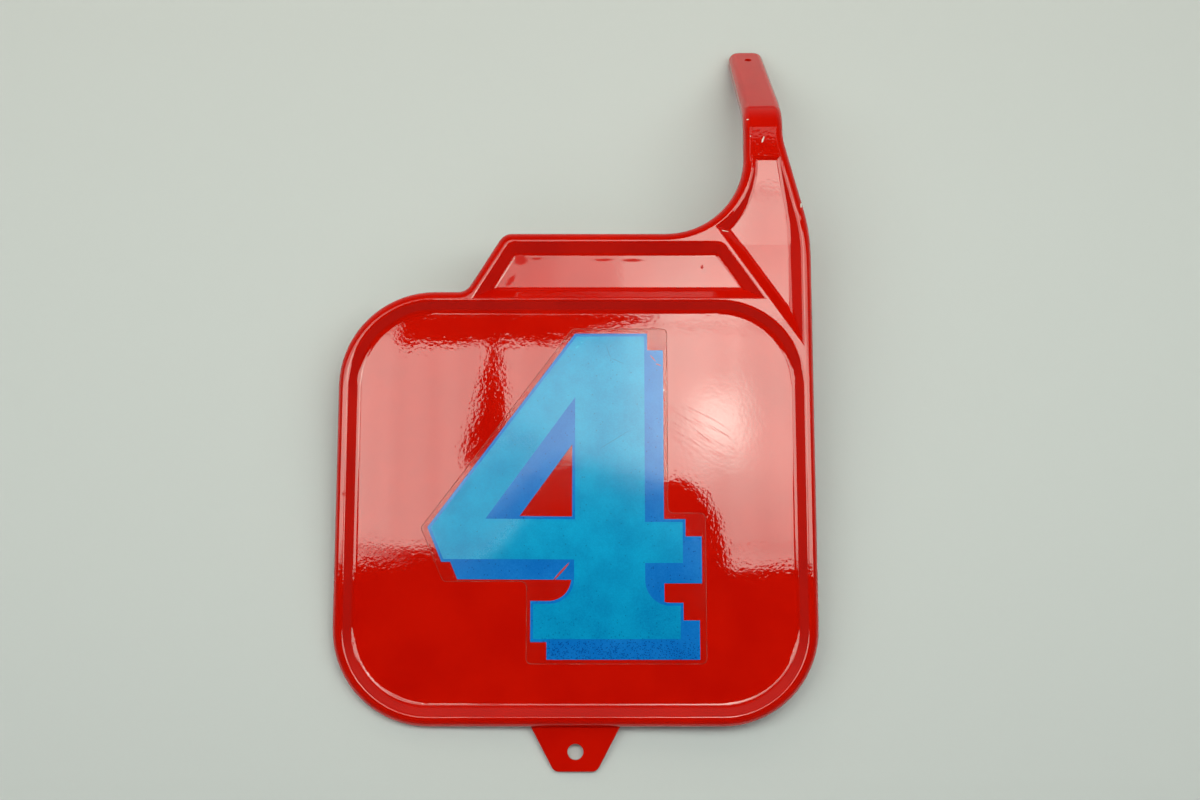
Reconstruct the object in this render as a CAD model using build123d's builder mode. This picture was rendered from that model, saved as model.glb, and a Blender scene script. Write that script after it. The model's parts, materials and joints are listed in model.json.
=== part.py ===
from build123d import *
import os
from math import atan2, cos, degrees, radians, tan

# Racing number board: one moulded sheet of even wall with a raised rim, a sunk number panel, two shallow
# pockets above it, an arm that bends back into a fixing strap, and a fixing tab below. A die-cut number film is
# stuck on the panel. All sizes are millimetres and degrees.
# The board is drawn flat, face up, with X from the panel's middle, Y from its bottom edge towards the arm and
# Z from its back edge. It is then laid down as it comes to rest, propped on the end of its strap.

# Panel, over its rim
panel_width = 260.0
panel_height = 235.0
panel_corner = 52.0

# Sheet section: an even wall that rises into a rim, hollow behind, and drops into the pockets
wall = 2.5
rim_height = 7.5
rim_inset = 5.6
edge_radius = 4.6
crest_radius = 1.7
panel_foot_radius = 4.0
pocket_foot_radius = 2.8
panel_draft = 46.0
pocket_draft = 50.0

# Header above the panel, and the ribs that part the pockets. Rises are above the panel's top edge, and insets
# are in from its right edge.
header_rise = 33.0
header_left = 61.0
header_slant = 58.0
header_corner = 8.0
panel_rib = 1.5
brace_rib = 2.3
brace_angle = 54.7
brace_inset = 47.4

# Shoulder and arm, with the pocket that runs up into the arm on a ramp
arm_width = 22.3
arm_inset = 14.4
arm_inner_radius = 44.0
shoulder_rise = 33.7
shoulder_radius = 100.0
neck_rise = 88.0
neck_radius = 35.0
ramp_foot_rise = 27.0
ramp_end_rise = 76.0
ramp_end_depth = 0.8
ease_draft = 70.0
ease_depth = 0.4
ease_spread = 0.2

# Strap, bent back from the arm, then leaning to the panel's side and narrowing to its tip
bend_rise = 93.3
bend_angle = 47.0
bend_radius = 20.0
strap_length = 84.3
strap_turn = 10.3
strap_turn_radius = 200.0
strap_tip = 20.5
strap_lean = 2.5
strap_corner = 6.0
arm_hole = 4.3
arm_hole_from_end = 15.5
arm_hole_offset = 0.6

# Tab below the panel
tab_root = 47.6
tab_tip = 22.6
tab_length = 23.4
tab_corner = 4.5
tab_edge = 0.8
tab_hole = 8.4
tab_hole_drop = 13.0

# Number film: a stem with a slanting bar across it and a broad foot, cut around the print with even corners
film_thickness = 0.2
film_corner = 3.0
film_top_margin = 9.7
film_foot_margin = 21.8
film_tip = -84.0
film_bar_left = -71.5
film_foot_left = -26.6
film_stem_left = -2.2
film_stem_right = 49.9
film_foot_right = 70.2
film_bar_rise = 43.6
film_tip_rise = 72.6
film_shoulder_rise = 80.6

# Places that follow from those sizes
overshoot = 1.0
settle_steps = 40
panel_right = panel_width / 2
arm_right = panel_right - arm_inset
arm_left = arm_right - arm_width
arm_middle = (arm_left + arm_right) / 2
bend_start = panel_height + bend_rise
arm_end = bend_start + arm_width
header_top = panel_height + header_rise
header_lean = header_rise / tan(radians(header_slant))
floor_inset = rim_inset + (rim_height - wall) * tan(radians(panel_draft))


def outline(inset):
    """Plan of the board up to the arm's bend, moved in from its edge by inset."""
    corners = [
        (-panel_right, 0, panel_corner),
        (panel_right, 0, panel_corner),
        (panel_right, panel_height + shoulder_rise, shoulder_radius),
        (arm_right, panel_height + neck_rise, neck_radius),
        (arm_right, arm_end, 0),
        (arm_left, arm_end, 0),
        (arm_left, header_top, arm_inner_radius),
        (header_lean - header_left, header_top, header_corner),
        (-header_left, panel_height, header_corner),
        (-panel_right, panel_height, panel_corner),
    ]
    with BuildSketch() as plan:
        with BuildLine():
            FilletPolyline(*[(x, y) for x, y, _ in corners], radius=[r for _, _, r in corners], close=True)
        make_face()
        if inset > 0:
            offset(amount=-inset)
        split(bisect_by=Plane.XZ.offset(-bend_start), keep=Keep.TOP)
    return plan.sketch


# The strap's face, with its X across the strap and its Y along it from the bend
bend_level = rim_height - bend_radius
bend_plane = Plane(origin=(arm_middle, bend_start, bend_level), x_dir=(1, 0, 0), z_dir=(0, 0, 1))
strap_plane = bend_plane.rotated((-bend_angle, 0, 0)).offset(bend_radius)


def sheet_form(inset, below):
    """Board, arm and strap as one round-edged form without pockets, moved in by inset and deepened by below."""
    depth = rim_height - inset + below
    width = arm_width - 2 * inset
    tip_left = inset - strap_tip / 2 - strap_lean
    tip_right = strap_tip / 2 - strap_lean - inset
    length = strap_length - inset
    corner = strap_corner - inset
    with BuildPart() as form:
        with BuildSketch(Plane.XY.offset(-below)):
            add(outline(inset))
        extrude(amount=depth)
        with BuildSketch(Plane.XZ.offset(-bend_start)):
            with Locations((arm_middle, -below)):
                Rectangle(width, depth, align=(Align.CENTER, Align.MIN))
        revolve(axis=Axis((0, bend_start, bend_level), (-1, 0, 0)), revolution_arc=bend_angle)
        with BuildSketch(strap_plane.offset(-inset)):
            with BuildLine():
                FilletPolyline(
                    (-width / 2, 0),
                    (-width / 2, strap_turn),
                    (tip_left, length),
                    (tip_right, length),
                    (width / 2, strap_turn),
                    (width / 2, 0),
                    radius=[0, strap_turn_radius, corner, corner, strap_turn_radius, 0],
                    close=True,
                )
            make_face()
        extrude(amount=-depth)
        bottom_edge = form.edges().filter_by(Axis.X).group_by(Axis.Y)[0].sort_by(Axis.Z)[-1]
        fillet(bottom_edge, radius=edge_radius - inset)
    return form.part


def tapered_pocket(mouth, draft, floor, spread):
    """Solid that fills a pocket from its mouth in the rim's crest down to floor, grown evenly by spread."""
    reach = spread / cos(radians(draft))
    with BuildPart() as pocket:
        for level in (rim_height, floor):
            with BuildSketch(Plane.XY.offset(level)):
                offset(mouth, amount=reach - (rim_height - level) * tan(radians(draft)), kind=Kind.INTERSECTION)
        loft(ruled=True)
    return pocket.part


# Mouths of the three pockets, inside the rim and apart by the ribs
with BuildSketch() as panel_mouth:
    with Locations((0, panel_height / 2)):
        RectangleRounded(panel_width - 2 * rim_inset, panel_height - 2 * rim_inset, panel_corner - rim_inset)

mouth_top = header_top - rim_inset
mouth_bottom = panel_height - rim_inset + panel_rib
mouth_drop = mouth_top - mouth_bottom
slant_run = 1 / tan(radians(header_slant))
brace_run = 1 / tan(radians(brace_angle))
mouth_left = header_lean - header_left - rim_inset * slant_run + rim_inset / cos(radians(90 - header_slant))
brace_reach = panel_right - brace_inset
mouth_right = brace_reach - brace_rib / 2 / cos(radians(90 - brace_angle))
with BuildSketch() as header_mouth:
    with BuildLine():
        FilletPolyline(
            (mouth_left - mouth_drop * slant_run, mouth_bottom),
            (mouth_left, mouth_top),
            (mouth_right, mouth_top),
            (mouth_right + mouth_drop * brace_run, mouth_bottom),
            radius=[0, header_corner, header_corner, 0],
            close=True,
        )
    make_face()

brace_normal = Vector(1, 0).rotate(Axis.Z, 90 - brace_angle)
brace_plane = Plane(origin=(brace_reach, mouth_top), x_dir=(0, 0, 1), z_dir=brace_normal)
with BuildSketch() as shoulder_mouth:
    add(outline(rim_inset))
    split(bisect_by=brace_plane.offset(brace_rib / 2), keep=Keep.TOP)
    split(bisect_by=Plane.XZ.offset(-panel_height - ramp_end_rise), keep=Keep.TOP)

ramp_angle = degrees(atan2(rim_height - ramp_end_depth - wall, ramp_end_rise - ramp_foot_rise))
ramp_foot_plane = Plane(origin=(0, panel_height + ramp_foot_rise, wall), x_dir=(1, 0, 0), z_dir=(0, 0, 1))
ramp_plane = ramp_foot_plane.rotated((ramp_angle, 0, 0))


def shoulder_pocket(floor, spread):
    """The pocket beside the brace, whose floor climbs into the arm."""
    with BuildPart() as pocket:
        add(tapered_pocket(shoulder_mouth.sketch, pocket_draft, floor, spread))
        split(bisect_by=ramp_plane.offset(-spread), keep=Keep.TOP)
    return pocket.part


# Tab, rooted in the rim's bottom wall, with its front edge rounded
with BuildPart() as tab:
    with BuildSketch():
        with BuildLine():
            FilletPolyline(
                (-tab_root / 2, wall / 2),
                (-tab_root / 2, 0),
                (-tab_tip / 2, -tab_length),
                (tab_tip / 2, -tab_length),
                (tab_root / 2, 0),
                (tab_root / 2, wall / 2),
                radius=[0, 0, tab_corner, tab_corner, 0, 0],
                close=True,
            )
        make_face()
    extrude(amount=wall)
    tip_edge = tab.edges().filter_by(Axis.X).group_by(Axis.Y)[0].sort_by(Axis.Z)[-1]
    fillet(tip_edge, radius=tab_edge)

# What is hollow behind the sheet: the whole form one wall further in, less the pockets one wall further out
with BuildPart() as hollow:
    add(sheet_form(wall, overshoot))
    add(tapered_pocket(panel_mouth.sketch, panel_draft, -overshoot, wall), mode=Mode.SUBTRACT)
    add(tapered_pocket(header_mouth.sketch, pocket_draft, -overshoot, wall), mode=Mode.SUBTRACT)
    add(shoulder_pocket(-overshoot, wall), mode=Mode.SUBTRACT)

with BuildPart() as flat_board:
    add(sheet_form(0, 0))
    add(tapered_pocket(panel_mouth.sketch, panel_draft, wall, 0), mode=Mode.SUBTRACT)
    add(tapered_pocket(header_mouth.sketch, pocket_draft, wall, 0), mode=Mode.SUBTRACT)
    add(shoulder_pocket(wall, 0), mode=Mode.SUBTRACT)

    # Rounded mouths of the panel and the header, and rounded feet of all three pockets
    crest = flat_board.faces().filter_by(Axis.Z).sort_by(Axis.Z)[-1]
    mouths = crest.inner_wires().sort_by(Axis.X)[:2]
    fillet(mouths.edges(), radius=crest_radius)
    panel_floor = flat_board.faces().filter_by_position(Axis.Z, wall, wall).sort_by(SortBy.AREA)[-1]
    fillet(panel_floor.edges(), radius=panel_foot_radius)
    pocket_floors = flat_board.faces().filter_by_position(Axis.Z, wall, wall).sort_by(SortBy.AREA)[:-1]
    ramp = flat_board.faces().filter_by(ramp_plane)
    fold = ramp.edges().filter_by(Axis.X).sort_by(Axis.Y)[0]
    feet = [edge for edge in pocket_floors.edges() + ramp.edges() if not edge.is_same(fold)]
    fillet(feet, radius=pocket_foot_radius)

    # The shoulder pocket's mouth is eased by a shallower taper
    ease_floor = rim_height - ease_depth
    add(tapered_pocket(shoulder_mouth.sketch, ease_draft, ease_floor, ease_spread), mode=Mode.SUBTRACT)
    add(hollow.part, mode=Mode.SUBTRACT)

    # The tab and the two fixing holes
    add(tab.part)
    with Locations((0, -tab_hole_drop, wall)):
        Hole(radius=tab_hole / 2)
    with Locations(strap_plane):
        with Locations((arm_hole_offset - strap_lean, strap_length - arm_hole_from_end)):
            Hole(radius=arm_hole / 2)

film_bottom = floor_inset + film_foot_margin
film_top = panel_height - floor_inset - film_top_margin
with BuildPart() as flat_film:
    with BuildSketch(Plane.XY.offset(wall)):
        with BuildLine():
            FilletPolyline(
                (film_stem_left, film_top),
                (film_stem_right, film_top),
                (film_stem_right, film_bottom + film_shoulder_rise),
                (film_foot_right, film_bottom + film_shoulder_rise),
                (film_foot_right, film_bottom),
                (film_foot_left, film_bottom),
                (film_foot_left, film_bottom + film_bar_rise),
                (film_bar_left, film_bottom + film_bar_rise),
                (film_tip, film_bottom + film_tip_rise),
                radius=film_corner,
                close=True,
            )
        make_face()
    extrude(amount=film_thickness)

# The board rests on three round corners of its back edge, one each of the tab, the strap's end and the panel.
# Each is given by its centre, the direction square to it and its radius. The floor is the plane that touches
# all three.
tab_slope = (tab_root - tab_tip) / 2 / tab_length
tab_corner_inset = tab_corner / cos(atan2(tab_slope, 1)) - tab_corner * tab_slope
strap_slope = (strap_tip / 2 + strap_lean - arm_width / 2) / (strap_length - strap_turn)
strap_corner_inset = strap_corner / cos(atan2(strap_slope, 1)) + strap_corner * strap_slope
strap_corner_across = strap_corner_inset - strap_tip / 2 - strap_lean
back_corners = [
    (Vector(tab_corner_inset - tab_tip / 2, tab_corner - tab_length), Vector(0, 0, 1), tab_corner),
    (
        strap_plane.from_local_coords(Vector(strap_corner_across, strap_length - strap_corner, -rim_height)),
        strap_plane.z_dir,
        strap_corner,
    ),
    (Vector(panel_corner - panel_right, panel_corner), Vector(0, 0, 1), panel_corner),
]
touching = [centre for centre, _, _ in back_corners]
for _ in range(settle_steps):
    up = (touching[1] - touching[0]).cross(touching[2] - touching[0]).normalized()
    touching = [
        centre - (up - square * up.dot(square)).normalized() * radius for centre, square, radius in back_corners
    ]
floor = Plane(origin=touching[0], x_dir=Vector(1, 0) - up * up.X, z_dir=up)
settled = floor.location.inverse()

# The frame's origin is under the middle of the lying board, on the floor
reach = (settled * flat_board.part).bounding_box()
rest_plane = Plane(Location((-reach.center().X, -reach.center().Y, 0)) * settled)

with BuildPart(rest_plane) as number_board:
    add(flat_board.part)
number_board.part.label = "number_board"

with BuildPart(rest_plane) as number_film:
    add(flat_film.part)
number_film.part.label = "number_film"

os.makedirs("parts", exist_ok=True)
export_step(number_board.part, "parts/number_board.step")
export_step(number_film.part, "parts/number_film.step")
print("floor normal on the board", up, "lying size", reach.size)
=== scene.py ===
# %% [markdown]
# # A racing number board, lying face up
# The board is one moulded sheet, painted gloss red, with a number film stuck on its panel. The sheet and the
# film come from the CAD model, so their shape is already right. This lesson adds what the CAD model lacks:
# the print on the film, the finish of each surface, the small marks of use, and the light that gloss mirrors.

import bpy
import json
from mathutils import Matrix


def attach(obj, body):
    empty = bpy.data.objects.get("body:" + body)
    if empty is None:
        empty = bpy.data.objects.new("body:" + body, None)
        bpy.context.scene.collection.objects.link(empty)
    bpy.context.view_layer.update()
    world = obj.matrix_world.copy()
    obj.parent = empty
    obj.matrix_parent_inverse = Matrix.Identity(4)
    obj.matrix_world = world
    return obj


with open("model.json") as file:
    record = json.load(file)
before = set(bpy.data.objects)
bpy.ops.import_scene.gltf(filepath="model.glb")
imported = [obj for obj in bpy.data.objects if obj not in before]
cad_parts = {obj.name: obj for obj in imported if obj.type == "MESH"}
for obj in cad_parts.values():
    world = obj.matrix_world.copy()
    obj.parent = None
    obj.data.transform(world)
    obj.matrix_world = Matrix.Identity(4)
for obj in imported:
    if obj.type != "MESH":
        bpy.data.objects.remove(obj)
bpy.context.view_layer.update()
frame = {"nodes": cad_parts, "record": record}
board = frame["nodes"]["number_board"]
film = frame["nodes"]["number_film"]

# %% [markdown]
# ## The panel's own axes
# The board rests tilted on its tab, its strap and one corner, so nothing on the panel is level. Places on the
# print and in the paint are easier to read in millimetres on the panel itself: across from the middle, along
# from the lower edge, and up from the back of the sheet. They could be turned by hand for every piece, but
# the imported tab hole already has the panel's upward axis, so one matrix is worked out from it.

# %% One matrix from panel millimetres to the frame
import json
import math

import bmesh
import bpy
from mathutils import Matrix, Vector

MM = 0.001
SHEET_WALL = 2.5
HOLE_BELOW_PANEL = 13.0

tab_hole = next(mount for mount in frame["record"]["mounts"] if mount["name"] == "tab_hole")
panel_up = Vector(tab_hole["axis"])
panel_across = Vector((0, 1, 0)).cross(panel_up).normalized()
panel_along = panel_up.cross(panel_across)
hole_on_panel = Vector((0, -HOLE_BELOW_PANEL, SHEET_WALL / 2))
panel_turn = Matrix((panel_across, panel_along, panel_up)).transposed().to_4x4()
panel_start = Vector(tab_hole["pos_m"]) - panel_turn @ (hole_on_panel * MM)
panel_frame = Matrix.Translation(panel_start) @ panel_turn
from_panel = panel_frame @ Matrix.Scale(MM, 4)
to_panel = from_panel.inverted()
print("panel tilt in degrees:", round(math.degrees(panel_up.angle(Vector((0, 0, 1)))), 2))

# %% [markdown]
# ## The camera
# The photograph looks down on the board from a little below its middle. A camera can be steered by eye, or
# placed by the numbers that were measured from the picture. The numbers are used here, in panel millimetres,
# because then the render and the photograph can be laid over each other.

# %% A camera 0.76 m above the panel
CAMERA_PLACE = Vector((13.0, 68.2, 761.25))
CAMERA_TILT = math.radians(8)

lens = bpy.data.cameras.new("camera")
lens.lens = 42
lens.sensor_width = 36
camera = bpy.data.objects.new("camera", lens)
camera_turn = Matrix.Rotation(CAMERA_TILT, 4, "X")
camera.matrix_world = panel_frame @ Matrix.Translation(CAMERA_PLACE * MM) @ camera_turn
bpy.context.scene.collection.objects.link(camera)
bpy.context.scene.camera = camera
bpy.context.scene.view_settings.view_transform = "Standard"
print("camera at", [round(place, 3) for place in camera.matrix_world.translation])

# %% [markdown]
# ## Helpers for node trees
# A finish in Blender is a tree of small nodes. Building one by hand needs three lines for every node, so one
# helper adds a node, sets its options and fills its inputs, and a few more wrap the nodes that are used most.

# %% Short ways to add nodes
NOISE_LOW, NOISE_HIGH = 0.3, 0.7


def node(tree, kind, inputs=None, **options):
    """Adds one node. A plain input value is typed in, and a socket is linked."""
    made = tree.nodes.new(kind)
    for option, value in options.items():
        setattr(made, option, value)
    for socket, value in (inputs or {}).items():
        if isinstance(value, bpy.types.NodeSocket):
            tree.links.new(value, made.inputs[socket])
        else:
            made.inputs[socket].default_value = value
    return made


def calculate(tree, operation, first, second=0.0):
    """The result of a Math node."""
    return node(tree, "ShaderNodeMath", {0: first, 1: second}, operation=operation).outputs[0]


def ramp(tree, value, low, high, to_low=0.0, to_high=1.0):
    """Runs smoothly from to_low, where value is low, to to_high, where it is high."""
    inputs = {0: value, 1: low, 2: high, 3: to_low, 4: to_high}
    return node(tree, "ShaderNodeMapRange", inputs, interpolation_type="SMOOTHSTEP").outputs[0]


def blend_colours(tree, share, first, second):
    """The first colour where share is 0, and the second where it is 1."""
    return node(tree, "ShaderNodeMix", {0: share, 6: first, 7: second}, data_type="RGBA").outputs[2]


def noise(tree, place, size, detail=2.0):
    """Soft random values, mostly from NOISE_LOW to NOISE_HIGH, with lumps of about that size."""
    inputs = {"Vector": place, "Scale": 1 / size, "Detail": detail}
    return node(tree, "ShaderNodeTexNoise", inputs).outputs[0]


print("node helpers ready")

# %% [markdown]
# ## The floor
# The board lies on a pale floor. It is kept plain, because it is only there to carry the shadow and to be
# mirrored in the gloss. A small floor would end in a dark horizon in low views. This one is a wide grid,
# level with the board's feet, that glows far from the board for the camera alone, so it runs into the
# backdrop and adds no light.

# %% A pale matt floor
FLOOR_SIZE = 12.0
FLOOR_GREY = (0.585, 0.585, 0.61, 1)
BACKDROP_GREY = (0.57, 0.6, 0.56, 1)
GLOW_FROM, GLOW_TO = 0.45, 1.7


def new_object(name, shape):
    """Turns a finished bmesh into an object at the origin."""
    mesh = bpy.data.meshes.new(name)
    shape.to_mesh(mesh)
    shape.free()
    made = bpy.data.objects.new(name, mesh)
    bpy.context.scene.collection.objects.link(made)
    return made


def new_material(name, **constants):
    """A material with a Principled BSDF whose constant inputs are typed on its own sockets."""
    material = bpy.data.materials.new(name)
    material.use_nodes = True
    surface = material.node_tree.nodes["Principled BSDF"]
    for socket, value in constants.items():
        surface.inputs[socket.replace("_", " ")].default_value = value
    return material, material.node_tree, surface


floor_shape = bmesh.new()
bmesh.ops.create_grid(floor_shape, x_segments=2, y_segments=2, size=FLOOR_SIZE / 2)
floor = new_object("floor", floor_shape)
floor_paint, tree, surface = new_material("floor_paint", Base_Color=FLOOR_GREY, Roughness=0.7,
                                          Emission_Color=BACKDROP_GREY)
place = node(tree, "ShaderNodeTexCoord").outputs["Object"]
distance = node(tree, "ShaderNodeVectorMath", {0: place}, operation="LENGTH").outputs["Value"]
seen = node(tree, "ShaderNodeLightPath").outputs["Is Camera Ray"]
glow = calculate(tree, "MULTIPLY", ramp(tree, distance, GLOW_FROM, GLOW_TO), seen)
tree.links.new(glow, surface.inputs["Emission Strength"])
floor.data.materials.append(floor_paint)
print("floor of", FLOOR_SIZE, "m at height 0")

# %% [markdown]
# ## The light
# Gloss paint shows its surroundings more than its own colour, so the light needs the shape that the
# photograph shows in the panel: a wide window of several panes beyond the board's upper half, with bright
# sills and one hot patch, and a dark crossbar, a post and a round shape in front of it. A picture could be
# put on a lamp. Here softboxes are hung above the panel and dark flags are held under them, as in a studio,
# because then the light on the floor stays true as well. Each is placed by the spot on the panel where the
# camera sees its mirror image. Two more lamps only fill the shadows, and the gloss doesn't mirror them.

# %% One softbox, placed by its mirror image
LIGHT_HEIGHT = 1000.0
FOLD_WIDTH = 0.04
FOLD_DARK, FOLD_BRIGHT = 0.92, 1.06


def above_mirror(spot, height):
    """The place at a height above the panel that the camera sees mirrored in a spot on the panel."""
    face = Vector((*spot, SHEET_WALL))
    away = (height - SHEET_WALL) / (CAMERA_PLACE.z - SHEET_WALL)
    return Vector((*(face.xy + (face.xy - CAMERA_PLACE.xy) * away), height))


def softbox(name, size, place, turn, radiance, colour, softness, mirrored=True):
    """An area lamp above the panel, dimmed towards its edges and faintly striped by folds in its cloth."""
    light = bpy.data.lights.new(name, "AREA")
    light.shape = "RECTANGLE"
    light.color = colour
    light.size, light.size_y = size * MM
    light.energy = radiance * math.pi * light.size * light.size_y
    light.use_nodes = True
    tree = light.node_tree
    cloth = node(tree, "ShaderNodeNewGeometry").outputs["Parametric"]
    across = node(tree, "ShaderNodeSeparateXYZ", {0: cloth}).outputs
    stripes = {"W": across["X"], "Scale": light.size / FOLD_WIDTH, "Detail": 1.0}
    folds = node(tree, "ShaderNodeTexNoise", stripes, noise_dimensions="1D").outputs[0]
    dimming = ramp(tree, folds, NOISE_LOW, NOISE_HIGH, FOLD_DARK, FOLD_BRIGHT)
    for side, soft in zip("XY", softness):
        rising = ramp(tree, across[side], 0, soft)
        falling = ramp(tree, across[side], 1 - soft, 1, 1, 0)
        dimming = calculate(tree, "MULTIPLY", calculate(tree, "MULTIPLY", rising, falling), dimming)
    tree.links.new(dimming, tree.nodes["Emission"].inputs["Strength"])
    holder = bpy.data.objects.new(name, light)
    holder.matrix_world = panel_frame @ Matrix.Translation(place * MM) @ Matrix.Rotation(turn, 4, "X")
    holder.visible_camera = False
    holder.visible_glossy = mirrored
    bpy.context.scene.collection.objects.link(holder)


print("softboxes go", LIGHT_HEIGHT * MM, "m above the panel")

# %% The window's panes: name, two corners of the mirror image, radiance and softness
WINDOW_WHITE = (0.86, 0.985, 0.87)
PANE_GAP = 3.0
PANES = [
    ("wide_window", (-600, 94), (600, 307), 2.4, (0.01, 0.01)),
    ("lower_panes", (-600, 94), (600, 216), 2.0, (0.01, 0.03)),
    ("upper_pane", (-50, 216), (280, 307), 2.9, (0.4, 0.03)),
    ("right_sill", (66, 84), (600, 95), 4.4, (0.01, 0.05)),
    ("left_sill", (-600, 87), (-84, 95), 4.0, (0.08, 0.3)),
    ("left_pane", (-150, 94), (-96, 215), 0.9, (0.2, 0.1)),
    ("bright_pane", (20, 92), (150, 270), 2.0, (0.3, 0.35)),
    ("curtain_gap", (24, 116), (92.5, 300), 1.1, (0.06, 0.3)),
    ("sun_patch", (50, 129), (106, 193), 6.0, (0.5, 0.5)),
    ("far_pane", (-300, 321), (300, 342), 0.9, (0.05, 0.2)),
]

for count, (name, low, high, radiance, softness) in enumerate(PANES):
    height = LIGHT_HEIGHT - PANE_GAP * count
    low, high = above_mirror(low, height), above_mirror(high, height)
    softbox(name, (high - low).xy, (low + high) / 2, 0, radiance, WINDOW_WHITE, softness)
print(len(PANES), "panes,", PANE_GAP, "mm apart")

# %% A low warm window beyond the arm
LOW_SIZE, LOW_PLACE, LOW_TURN = Vector((2000, 700)), Vector((0, 900, 500)), math.radians(-57)
LOW_WARM, LOW_RADIANCE, LOW_SOFT = (1.0, 0.85, 0.65), 0.95, (0.1, 0.2)

softbox("low_window", LOW_SIZE, LOW_PLACE, LOW_TURN, LOW_RADIANCE, LOW_WARM, LOW_SOFT, mirrored=False)
print("low window", LOW_PLACE.y * MM, "m along the panel")

# %% A fill from the reader's side
FILL_SIZE, FILL_PLACE, FILL_TURN = Vector((1600, 800)), Vector((13, -700, 1100)), math.radians(37)
FILL_WARM, FILL_RADIANCE, FILL_SOFT = (1.0, 0.97, 0.92), 1.0, (0.1, 0.1)

softbox("fill", FILL_SIZE, FILL_PLACE, FILL_TURN, FILL_RADIANCE, FILL_WARM, FILL_SOFT, mirrored=False)
print("fill", -FILL_PLACE.y * MM, "m before the panel")

# %% Dark flags under the softboxes
FLAG_HEIGHT = LIGHT_HEIGHT - PANE_GAP * len(PANES)
FLAGS = {
    "crossbar_flag": [(-97, 206), (-97, 227), (-14, 227), (46, 222), (46, 219), (12, 213), (-14, 206)],
    "post_flag": [(-48, 207), (-42.5, 207), (-42, 196), (-37.5, 170),
                  (-40, 139), (-62, 139), (-54, 170), (-48.5, 196)],
    "round_flag": [(-64, 60), (-64, 77), (-54, 110), (-36, 128), (-12, 140), (10, 143), (30, 135),
                   (45, 131), (57, 133), (69, 125), (77, 110), (80, 96), (84, 80), (84, 60)],
}

flag_cloth, _, _ = new_material("flag_cloth", Base_Color=(0.01, 0.01, 0.01, 1), Roughness=1.0)
for name, outline in FLAGS.items():
    shape = bmesh.new()
    shape.faces.new([shape.verts.new(above_mirror(corner, FLAG_HEIGHT)) for corner in outline])
    bmesh.ops.transform(shape, matrix=from_panel, verts=shape.verts[:])
    card = new_object(name, shape)
    card.data.materials.append(flag_cloth)
    card.visible_camera = False
print(len(FLAGS), "flags", FLAG_HEIGHT * MM, "m above the panel")

# %% The room around the softboxes
ROOM_BRIGHT, ROOM_DARK, CEILING_SHARE = 0.35, 0.1, 0.04
ROOM_WARM = (1.0, 0.94, 0.85, 1)
ARM_SIDE, CEILING = (-0.1, 0.7), (0.0, 0.85)

room = bpy.data.worlds.new("room")
room.use_nodes = True
bpy.context.scene.world = room
tree = room.node_tree
background = tree.nodes["Background"].inputs
direction = node(tree, "ShaderNodeTexCoord").outputs["Generated"]
sides = node(tree, "ShaderNodeSeparateXYZ", {0: direction}).outputs
beyond_arm = ramp(tree, sides["Y"], *ARM_SIDE, ROOM_DARK, ROOM_BRIGHT)
below_ceiling = ramp(tree, sides["Z"], *CEILING, 1.0, CEILING_SHARE)
walls = calculate(tree, "MULTIPLY", beyond_arm, below_ceiling)
seen = node(tree, "ShaderNodeLightPath").outputs["Is Camera Ray"]
brightness = node(tree, "ShaderNodeMix", {0: seen, 2: walls, 3: 1.0}, data_type="FLOAT").outputs[0]
tree.links.new(brightness, background["Strength"])
tree.links.new(blend_colours(tree, seen, ROOM_WARM, BACKDROP_GREY), background["Color"])
print("room light of", ROOM_BRIGHT, "beyond the arm")

# %% [markdown]
# ## Effects that several finishes share
# Sprayed lacquer dries with a faint skin like an orange's, which frays the edge of every reflection. Paint
# and print also have soft clouds of colour, hairline scratches from wiping, and small specks. Each of these
# could be built again in every material. As node groups they are built once and placed with their own values.

# %% Tools for node groups
def new_group(name, numbers, output):
    """An empty group that takes a place and some numbers and puts out one value."""
    group = bpy.data.node_groups.new(name, "ShaderNodeTree")
    group.interface.new_socket("Place", in_out="INPUT", socket_type="NodeSocketVector")
    for label, start in numbers.items():
        socket = group.interface.new_socket(label, in_out="INPUT", socket_type="NodeSocketFloat")
        socket.default_value = start
    group.interface.new_socket(output, in_out="OUTPUT", socket_type="NodeSocketFloat")
    return group, node(group, "NodeGroupInput").outputs, node(group, "NodeGroupOutput").inputs[output]


def effect(tree, group, place, **numbers):
    """Puts a group in a material and gives its result."""
    return node(tree, "ShaderNodeGroup", {"Place": place, **numbers}, node_tree=group).outputs[0]


def panel_place(tree):
    """Where a point lies on the panel, in millimetres, from its Object coordinates."""
    turned = {"Vector": node(tree, "ShaderNodeTexCoord").outputs["Object"], "Location": panel_start,
              "Rotation": panel_turn.to_euler(), "Scale": (MM, MM, MM)}
    return node(tree, "ShaderNodeMapping", turned, vector_type="TEXTURE").outputs[0]


print("group tools ready")

# %% Orange peel, in thousandths of a millimetre
PEEL_SIZES = {"Peel": 1.8, "Ripple": 12.0, "Wave": 80.0}
PEEL_DEPTHS = {"Peel": 15.0, "Ripple": 25.0, "Wave": 120.0}
MICRON = 1e-6

orange_peel, given, result = new_group("orange_peel", PEEL_DEPTHS, "Height")
height = 0.0
for name, size in PEEL_SIZES.items():
    lumps = calculate(orange_peel, "MULTIPLY", noise(orange_peel, given["Place"], size, 1.0), given[name])
    height = calculate(orange_peel, "ADD", height, lumps)
orange_peel.links.new(height, result)


def add_skin(tree, surface, height):
    """Turns a height in thousandths of a millimetre into the surface's normal."""
    bump = node(tree, "ShaderNodeBump", {"Height": height, "Distance": MICRON, "Strength": 1.0})
    tree.links.new(bump.outputs[0], surface.inputs["Normal"])


print("orange_peel with lumps of", list(PEEL_SIZES.values()), "mm")

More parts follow.
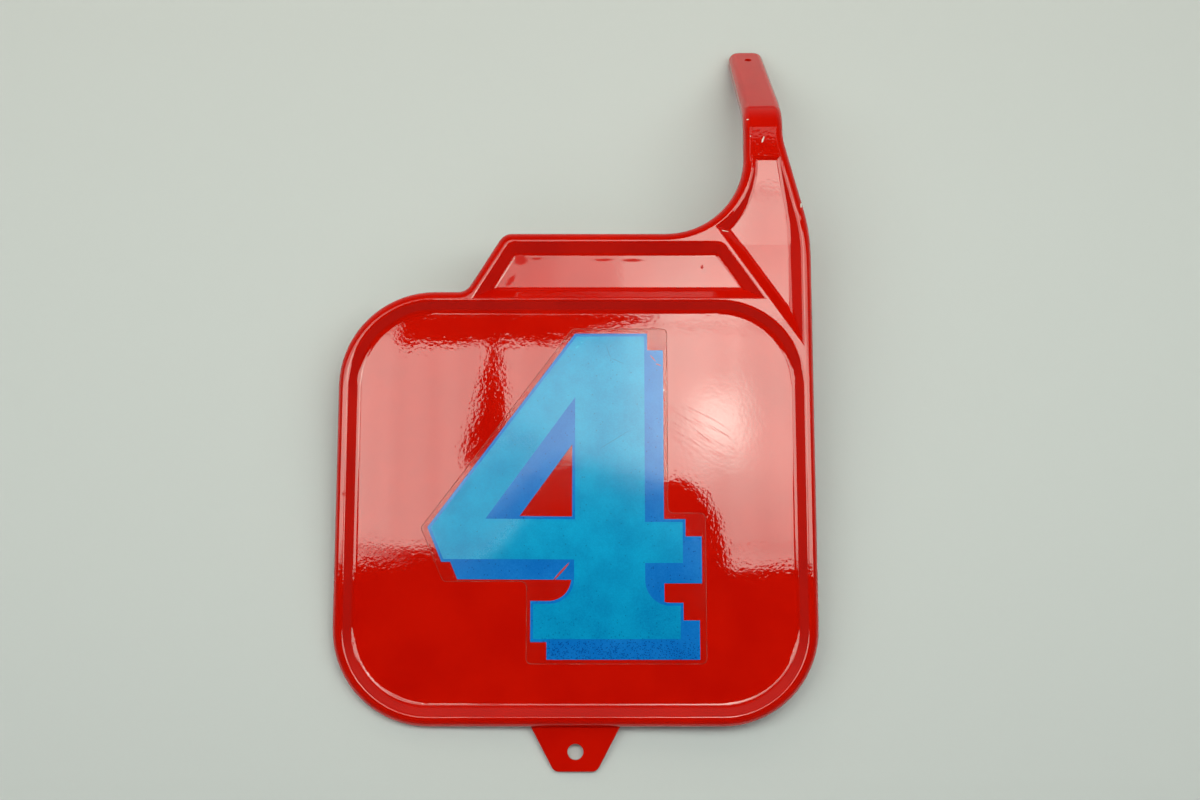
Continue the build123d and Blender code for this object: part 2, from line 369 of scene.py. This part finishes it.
# %% Soft clouds of colour
clouds, given, result = new_group("clouds", {"Fineness": 0.05}, "Share")
inputs = {"Vector": given["Place"], "Scale": given["Fineness"], "Detail": 4.0}
lumps = node(clouds, "ShaderNodeTexNoise", inputs).outputs[0]
clouds.links.new(ramp(clouds, lumps, NOISE_LOW, NOISE_HIGH), result)
print("clouds ready")

# %% Hairline scratches
HAIR_LENGTH, HAIR_SPACING = 26.0, 0.6
HAIR_TURNS = (-33, -39, -28)
HAIR_EDGE = 0.06


def most_of(tree, masks):
    """The largest of several masks."""
    largest = masks[0]
    for mask in masks[1:]:
        largest = calculate(tree, "MAXIMUM", largest, mask)
    return largest


scratches, given, result = new_group("scratches", {"Start": 0.7}, "Mask")
end = calculate(scratches, "ADD", given["Start"], HAIR_EDGE)
combed = []
for turn in HAIR_TURNS:
    turned = {"Vector": given["Place"], "Location": (turn, 0, 0), "Rotation": (0, 0, math.radians(turn)),
              "Scale": (HAIR_LENGTH, HAIR_SPACING, HAIR_LENGTH)}
    stretched = node(scratches, "ShaderNodeMapping", turned, vector_type="TEXTURE").outputs[0]
    combed.append(ramp(scratches, noise(scratches, stretched, 1.0, 0.0), given["Start"], end))
scratches.links.new(most_of(scratches, combed), result)
print("scratches", HAIR_LENGTH, "mm long")

# %% Small specks
specks, given, result = new_group("specks", {"Fineness": 0.5, "Radius": 0.2, "Share": 0.3}, "Mask")
cells = node(specks, "ShaderNodeTexVoronoi", {"Vector": given["Place"], "Scale": given["Fineness"]}).outputs
picked = node(specks, "ShaderNodeSeparateColor", {0: cells["Color"]}).outputs[0]
near = calculate(specks, "LESS_THAN", cells["Distance"], given["Radius"])
kept = calculate(specks, "LESS_THAN", picked, given["Share"])
specks.links.new(calculate(specks, "MULTIPLY", near, kept), result)
print("specks ready")

# %% [markdown]
# ## The red gloss paint
# The sheet is sprayed in a deep red and dries to a hard gloss. Its colour is nearly even, so the life of the
# surface comes from the peel in its skin, from hairlines where it was wiped, from dull smudges in the header,
# and from a few chips on the arm, where a pale primer shows. One pale spot among the chips is a painted
# highlight instead, where two walls of the arm's pocket meet. Chips could be cut into the mesh, but they are
# thinner than the paint, so they are spots of another colour and roughness at measured places.

# %% Spots at measured places: middle, half size and turn
FRAY_SIZE = 0.6
CHIPS_AND_GLINT = [
    ((104.0, 321.0), (1.9, 0.45), 70), ((124.8, 283.6), (1.6, 0.6), 80), ((95.7, 333.0), (0.9, 0.3), 0),
    # The last spot here, at (82.3, 269.1), is a painted highlight where two pocket walls meet. The others are
    # chips.
    ((97.1, 323.0), (0.3, 0.4), 0), ((82.3, 269.1), (2.3, 0.3), 0),
]
SMUDGES = [
    ((-30.9, 253.4), (4.2, 3.0), 0), ((-22.0, 254.0), (3.5, 0.8), 0), ((15.0, 253.4), (5.5, 0.8), 0),
    ((31.0, 253.2), (6.0, 0.9), 0), ((-36.5, 241.5), (4.0, 1.6), 50), ((69.6, 249.3), (0.8, 1.1), 0),
    ((68.2, 223.0), (1.8, 0.4), 0), ((72.6, 222.0), (1.2, 0.3), 0), ((-125.0, 123.0), (1.2, 0.9), 0),
]
SMUDGE_FRAY = 0.9
POLISHED = ((66.0, 156.0), (26.0, 15.0), -33)


def spot(tree, place, middle, half_size, turn, fray=0.35, core=0.8):
    """A mask that is 1 in the core of a frayed ellipse on the panel, and 0 outside it."""
    fitted = {"Vector": place, "Location": (*middle, 0), "Rotation": (0, 0, math.radians(turn)),
              "Scale": (*half_size, 1000)}
    local = node(tree, "ShaderNodeMapping", fitted, vector_type="TEXTURE").outputs[0]
    radius = node(tree, "ShaderNodeVectorMath", {0: local}, operation="LENGTH").outputs["Value"]
    frayed = calculate(tree, "MULTIPLY", noise(tree, place, FRAY_SIZE), 2 * fray)
    return ramp(tree, calculate(tree, "ADD", radius, frayed), 1.0 + fray, core + fray)


def spots(tree, place, measured, **options):
    """One mask for several spots."""
    return most_of(tree, [spot(tree, place, *each, **options) for each in measured])


print(len(CHIPS_AND_GLINT), "chips and", len(SMUDGES), "smudges measured")

# %% Paint the board
DEEP_RED, WARM_RED = (0.53, 0.0035, 0.0004, 1), (0.59, 0.005, 0.0006, 1)
PRIMER_AND_GLINT = (0.72, 0.68, 0.64, 1)
FRONT_DULLNESS, BACK_DULLNESS, BACK_FACING = 0.02, 0.4, -0.3
HAIR_START, POLISH_START = 0.74, 0.68
HAIR_DULLNESS, POLISH_DULLNESS, MARK_DULLNESS = 0.03, 0.2, 0.9
CHIP_AND_GLINT_DEPTH = 40.0

paint, tree, surface = new_material("board_paint", IOR=1.6)
place = panel_place(tree)
red = blend_colours(tree, effect(tree, clouds, place, Fineness=0.03), DEEP_RED, WARM_RED)
# Pale primer in the chips, and one painted highlight among them.
chips_and_glint = spots(tree, place, CHIPS_AND_GLINT)
tree.links.new(blend_colours(tree, chips_and_glint, red, PRIMER_AND_GLINT), surface.inputs["Base Color"])

hairs = effect(tree, scratches, place, Start=HAIR_START)
hairlines = calculate(tree, "MULTIPLY", hairs, HAIR_DULLNESS)
rubbing = effect(tree, scratches, place, Start=POLISH_START)
patch = calculate(tree, "MULTIPLY", spot(tree, place, *POLISHED), POLISH_DULLNESS)
polished = calculate(tree, "MULTIPLY", rubbing, patch)
marks = calculate(tree, "MAXIMUM", chips_and_glint, spots(tree, place, SMUDGES, fray=SMUDGE_FRAY))
marked = calculate(tree, "MULTIPLY", marks, MARK_DULLNESS)
normal = node(tree, "ShaderNodeNewGeometry").outputs["Normal"]
facing = node(tree, "ShaderNodeVectorMath", {0: normal, 1: panel_up}, operation="DOT_PRODUCT")
side = ramp(tree, facing.outputs["Value"], 0.0, BACK_FACING, FRONT_DULLNESS, BACK_DULLNESS)
wiped = calculate(tree, "ADD", hairlines, polished)
dull = calculate(tree, "ADD", wiped, calculate(tree, "MAXIMUM", side, marked))
tree.links.new(dull, surface.inputs["Roughness"])

chip_and_glint_dents = calculate(tree, "MULTIPLY", chips_and_glint, CHIP_AND_GLINT_DEPTH)
add_skin(tree, surface, calculate(tree, "SUBTRACT", effect(tree, orange_peel, place), chip_and_glint_dents))
board.data.materials.clear()
board.data.materials.append(paint)
print("board painted")

# %% [markdown]
# ## The clear film
# The number is printed on a clear sticker, cut a little wider than the figure. It is as glossy as the paint,
# so it shows only as a slight haze with a few specks of dust. A shader with refraction would be slow and
# hardly seen, so the film is nearly transparent. Its underside lies exactly on the paint, and two surfaces in
# one place make a render flicker, so a live modifier lifts the underside by the thickness of the glue.

# %% Lift the film's underside by its glue
GLUE = 0.02

film_heights = [(to_panel @ corner.co).z for corner in film.data.vertices]
film_top = max(film_heights)
film_middle = (min(film_heights) + film_top) / 2
underside = film.vertex_groups.new(name="underside")
underside.add([index for index, rise in enumerate(film_heights) if rise < film_middle], 1.0, "REPLACE")
lift = film.modifiers.new("glue", "DISPLACE")
lift.direction = "Z"
lift.mid_level = 0.0
lift.strength = GLUE * MM
lift.vertex_group = underside.name
print("film's upper face at", round(film_top, 3), "mm")

# %% Clear gloss for the film
HAZE_RED, HAZE_PALE = (0.55, 0.01, 0.003, 1), (0.6, 0.02, 0.01, 1)
HAZE_THIN, HAZE_THICK = 0.056, 0.084
FILM_DULLNESS, HAZE_DULLNESS = 0.14, 0.2
DUST_PALE = (0.8, 0.78, 0.75, 1)
DUST_SPECKS = [
    ((47.9, 180.3), (0.5, 0.45), 0), ((43.0, 119.6), (0.4, 0.4), 0), ((62.0, 96.0), (0.3, 0.3), 0),
]

clear_film, tree, surface = new_material("clear_film")
place = panel_place(tree)
haze = effect(tree, clouds, place, Fineness=0.05)
dusty = spots(tree, place, DUST_SPECKS)
tint = blend_colours(tree, haze, HAZE_RED, HAZE_PALE)
tree.links.new(blend_colours(tree, dusty, tint, DUST_PALE), surface.inputs["Base Color"])
tree.links.new(ramp(tree, haze, 0, 1, FILM_DULLNESS, HAZE_DULLNESS), surface.inputs["Roughness"])
clouding = ramp(tree, haze, 0, 1, HAZE_THIN, HAZE_THICK)
tree.links.new(calculate(tree, "MAXIMUM", clouding, dusty), surface.inputs["Alpha"])
add_skin(tree, surface, effect(tree, orange_peel, place))
film.data.materials.clear()
film.data.materials.append(clear_film)
print("film made clear, with", len(DUST_SPECKS), "specks of dust")

# %% [markdown]
# ## The film's cut edge
# The sticker's cut edge shows as a thin, patchy line: painted shade and sheen of the edge where it catches
# light, with dust gathered along it. A line in the film's material would need a second copy of the outline. A
# copy of the film's own upper face already has it, so that face is drawn in with an inset, only the narrow
# ring is kept, and it is given a little thickness.

# %% A ring of painted edge shade and dust along the cut
EDGE_WIDTH, EDGE_RISE = 0.3, 0.03
MERGE = 0.001


def raise_faces(shape, rise):
    """Gives flat faces a thickness upwards."""
    raised = bmesh.ops.extrude_face_region(shape, geom=shape.faces[:])["geom"]
    upper = [part for part in raised if isinstance(part, bmesh.types.BMVert)]
    bmesh.ops.translate(shape, verts=upper, vec=(0, 0, rise))


ring = bmesh.new()
ring.from_mesh(film.data)
bmesh.ops.transform(ring, matrix=to_panel, verts=ring.verts[:])
bmesh.ops.remove_doubles(ring, verts=ring.verts[:], dist=MERGE)
below = [side for side in ring.faces if side.calc_center_median().z < film_top - MERGE]
bmesh.ops.delete(ring, geom=below, context="FACES")
bmesh.ops.dissolve_faces(ring, faces=ring.faces[:])
inner = ring.faces[:]
bmesh.ops.inset_region(ring, faces=inner, thickness=EDGE_WIDTH, use_boundary=True, use_even_offset=True)
bmesh.ops.delete(ring, geom=inner, context="FACES")
raise_faces(ring, EDGE_RISE)
bmesh.ops.recalc_face_normals(ring, faces=ring.faces[:])
bmesh.ops.transform(ring, matrix=from_panel, verts=ring.verts[:])
print("film edge with", len(ring.faces), "faces")
film_edge = new_object("film_edge", ring)
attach(film_edge, "root")

# %% Patchy dust and painted edge shade
EDGE_RED, EDGE_PALE = (0.3, 0.04, 0.03, 1), (0.5, 0.12, 0.09, 1)
EDGE_LINE_THIN, EDGE_LINE_THICK = 0.12, 0.4

edge_shade_and_dust, tree, surface = new_material("edge_shade_and_dust", Roughness=0.5)
patches = effect(tree, clouds, panel_place(tree), Fineness=0.15)
tree.links.new(blend_colours(tree, patches, EDGE_RED, EDGE_PALE), surface.inputs["Base Color"])
# The ring's colour is painted shade and sheen of the cut edge, patchy with dust.
tree.links.new(ramp(tree, patches, 0, 1, EDGE_LINE_THIN, EDGE_LINE_THICK), surface.inputs["Alpha"])
film_edge.data.materials.append(edge_shade_and_dust)
print("dust covers", EDGE_LINE_THIN, "to", EDGE_LINE_THICK, "of the edge")

# %% [markdown]
# ## The printed number
# The figure is printed in three passes: a dark blue drop shadow, the same dark blue as a border, and a light
# blue face. A text object would need a font, and no font has this figure's shape, so the outline is drawn
# once with a few corners, its two brackets are rounded with a bevel, and each pass is that outline, moved
# or drawn in.

# %% The figure's outline
FIGURE = [
    (-0.8, 211.7), (38.9, 211.7), (38.9, 109.8), (59.2, 109.8), (59.2, 84.6), (38.9, 84.6), (38.9, 65.0),
    (57.8, 65.0), (57.8, 44.2), (-24.4, 44.2), (-24.4, 66.0), (-2.5, 66.0), (-2.5, 86.5), (-72.5, 86.8),
    (-80.3, 105.5),
]
COUNTER = [(-0.6, 176.4), (-0.5, 109.6), (-49.0, 110.0)]
BRACKETS = [6, 11]
BRACKET_RADIUS = 12.0


def draw(shape, outline, rounded, margin):
    """Draws an outline as one face, rounds some of its corners, and moves its edge inwards by a margin."""
    corners = [shape.verts.new((*corner, 0)) for corner in outline]
    filled = shape.faces.new(corners)
    filled.normal_update()
    if rounded:
        bmesh.ops.bevel(shape, geom=[corners[index] for index in rounded], offset=BRACKET_RADIUS,
                        offset_type="OFFSET", segments=12, profile=0.5, affect="VERTICES", material=-1)
        filled = max(shape.faces, key=lambda each: each.calc_area())
    if margin:
        rim = bmesh.ops.inset_region(shape, faces=[filled], thickness=margin, use_boundary=True,
                                     use_even_offset=True)
        bmesh.ops.delete(shape, geom=rim["faces"], context="FACES")
    bmesh.ops.delete(shape, geom=shape.faces[:], context="FACES_ONLY")


print("figure of", len(FIGURE), "corners")

# %% Three passes of ink
BORDER = 1.6
SHADOW_SHIFT = (8.7, -9.3)
INK_STEP = 0.05


def ink_pass(name, step, rounded, margin, counter_margin, shift):
    """One pass of ink: the figure with its counter open, raised by the passes below it."""
    shape = bmesh.new()
    draw(shape, FIGURE, rounded, margin)
    hole = bmesh.new()
    draw(hole, COUNTER, [], counter_margin)
    loop = bpy.data.meshes.new("counter")
    hole.to_mesh(loop)
    hole.free()
    shape.from_mesh(loop)
    bpy.data.meshes.remove(loop)
    bmesh.ops.triangle_fill(shape, edges=shape.edges[:], use_beauty=True, normal=(0, 0, 1))
    raise_faces(shape, INK_STEP)
    bmesh.ops.translate(shape, verts=shape.verts[:], vec=(*shift, film_top + INK_STEP * step))
    bmesh.ops.recalc_face_normals(shape, faces=shape.faces[:])
    bmesh.ops.transform(shape, matrix=from_panel, verts=shape.verts[:])
    print(name, "with", len(shape.faces), "faces")
    layer = new_object(name, shape)
    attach(layer, "root")
    return layer


shadow_pass = ink_pass("print_shadow", 0, [], 0, BORDER, SHADOW_SHIFT)
border_pass = ink_pass("print_border", 1, BRACKETS, 0, BORDER, (0, 0))
face_pass = ink_pass("print_face", 2, BRACKETS, BORDER, 0, (0, 0))

# %% [markdown]
# ## The two inks
# Screen ink dries in an even coat with a fine grain. The face is painted paler towards its top, a painted
# reflection of the window that the gloss mirrors there. A ramp along the panel gives that painted sheen,
# noise of about a millimetre gives the grain, and a peel finer than the paint's breaks up the gloss, which is
# dull on one arm where it was rubbed. Creases, a scuff and scrapes are thin spots at measured places, as the
# chips are.

# %% Grain and gloss that both inks have
GRAIN_SIZE = 0.8
INK_DULLNESS, INK_DULLEST, RUBBED_DULLNESS = 0.09, 0.12, 0.4
INK_PEEL = 10.0


def grain(tree, place):
    """The fine grain of screen ink, from 0 to 1."""
    return ramp(tree, noise(tree, place, GRAIN_SIZE, 3.0), NOISE_LOW, NOISE_HIGH)


def ink_gloss(tree, place, surface, rubbed=0.0):
    """Gives ink its soft gloss, duller where it is rubbed, and its fine skin."""
    gloss = ramp(tree, grain(tree, place), 0, 1, INK_DULLNESS, INK_DULLEST)
    dull = calculate(tree, "MULTIPLY", rubbed, RUBBED_DULLNESS)
    tree.links.new(calculate(tree, "ADD", gloss, dull), surface.inputs["Roughness"])
    add_skin(tree, surface, effect(tree, orange_peel, place, Peel=INK_PEEL))


def along_panel(tree, place):
    """How far along the panel a point lies, in millimetres from its lower edge."""
    return node(tree, "ShaderNodeSeparateXYZ", {0: place}).outputs["Y"]


print("ink grain of", GRAIN_SIZE, "mm")

# %% Light blue for the face
DEEP_BLUE, PALE_BLUE = (0.0005, 0.195, 0.47, 1), (0.003, 0.36, 0.68, 1)
CREASE_BLUE, SCUFF_BLUE = (0.001, 0.14, 0.33, 1), (0.02, 0.45, 0.72, 1)
PAINTED_SHEEN_FROM, PAINTED_SHEEN_TO = 45.0, 115.0
PAINTED_SHEEN_SHARE, CLOUD_SHARE, GRAIN_SHARE = 0.35, 0.4, 0.25
CREASE_SHARE, DOT_SHARE = 0.5, 0.6
FEW_DOTS, MANY_DOTS, DOTS_TO = 0.02, 0.25, 65.0
CREASES = [
    ((20.6, 152.8), (10.2, 0.3), 32), ((17.5, 201.8), (4.6, 0.3), -70), ((22.5, 196.5), (4.0, 0.25), -25),
]
SCUFFS = [((0.6, 204.3), (1.3, 0.5), 40), ((3.0, 206.8), (0.7, 0.4), 10)]
RUBBED_ARM, RUBBED_CORE = ((-50.0, 119.0), (60.0, 28.0), 53), 0.3

light_ink, tree, surface = new_material("light_ink")
place = panel_place(tree)
along = along_panel(tree, place)
# Painted sheen: the face is painted paler towards the top of the panel, where the gloss mirrors the window.
painted_sheen = calculate(tree, "MULTIPLY", ramp(tree, along, PAINTED_SHEEN_FROM, PAINTED_SHEEN_TO), PAINTED_SHEEN_SHARE)
cloudy = calculate(tree, "MULTIPLY", effect(tree, clouds, place, Fineness=0.06), CLOUD_SHARE)
grainy = calculate(tree, "MULTIPLY", grain(tree, place), GRAIN_SHARE)
paleness = calculate(tree, "ADD", calculate(tree, "ADD", painted_sheen, cloudy), grainy)
blue = blend_colours(tree, paleness, DEEP_BLUE, PALE_BLUE)
creased = calculate(tree, "MULTIPLY", spots(tree, place, CREASES), CREASE_SHARE)
blue = blend_colours(tree, creased, blue, CREASE_BLUE)
crowded = ramp(tree, along, DOTS_TO, PAINTED_SHEEN_FROM, FEW_DOTS, MANY_DOTS)
dotted = effect(tree, specks, place, Fineness=0.9, Radius=0.36, Share=crowded)
blue = blend_colours(tree, calculate(tree, "MULTIPLY", dotted, DOT_SHARE), blue, CREASE_BLUE)
blue = blend_colours(tree, spots(tree, place, SCUFFS), blue, SCUFF_BLUE)
tree.links.new(blue, surface.inputs["Base Color"])
ink_gloss(tree, place, surface, spot(tree, place, *RUBBED_ARM, core=RUBBED_CORE))
face_pass.data.materials.append(light_ink)
print("face inked with", len(CREASES), "creases")

# %% Dark blue for the shadow and the border
DARK_BLUE, MID_BLUE = (0.001, 0.13, 0.52, 1), (0.008, 0.185, 0.62, 1)
SPECK_BLUE, SCRAPE_RED = (0.001, 0.05, 0.27, 1), (0.5, 0.05, 0.04, 1)
MOTTLE_SHARE, COARSE_SHARE, SPECK_SHARE = 0.6, 0.4, 0.85
SCRAPES = [
    ((-8.0, 81.4), (7.2, 0.6), 48), ((42.0, 198.0), (2.4, 0.35), -50), ((45.0, 194.4), (1.8, 0.35), -20),
]
FEW_SPECKS, MANY_SPECKS = 0.03, 0.65
SPECKS_FROM, SPECKS_TO = 47.0, 41.0

dark_ink, tree, surface = new_material("dark_ink")
place = panel_place(tree)
cloudy = calculate(tree, "MULTIPLY", effect(tree, clouds, place, Fineness=0.05), MOTTLE_SHARE)
coarse = calculate(tree, "MULTIPLY", grain(tree, place), COARSE_SHARE)
dark = blend_colours(tree, calculate(tree, "ADD", cloudy, coarse), DARK_BLUE, MID_BLUE)
along = along_panel(tree, place)
crowded = ramp(tree, along, SPECKS_FROM, SPECKS_TO, FEW_SPECKS, MANY_SPECKS)
dotted = effect(tree, specks, place, Fineness=1.2, Radius=0.4, Share=crowded)
dark = blend_colours(tree, calculate(tree, "MULTIPLY", dotted, SPECK_SHARE), dark, SPECK_BLUE)
dark = blend_colours(tree, spots(tree, place, SCRAPES), dark, SCRAPE_RED)
tree.links.new(dark, surface.inputs["Base Color"])
ink_gloss(tree, place, surface)
shadow_pass.data.materials.append(dark_ink)
border_pass.data.materials.append(dark_ink)
print("shadow and border inked with", len(SCRAPES), "scrapes")
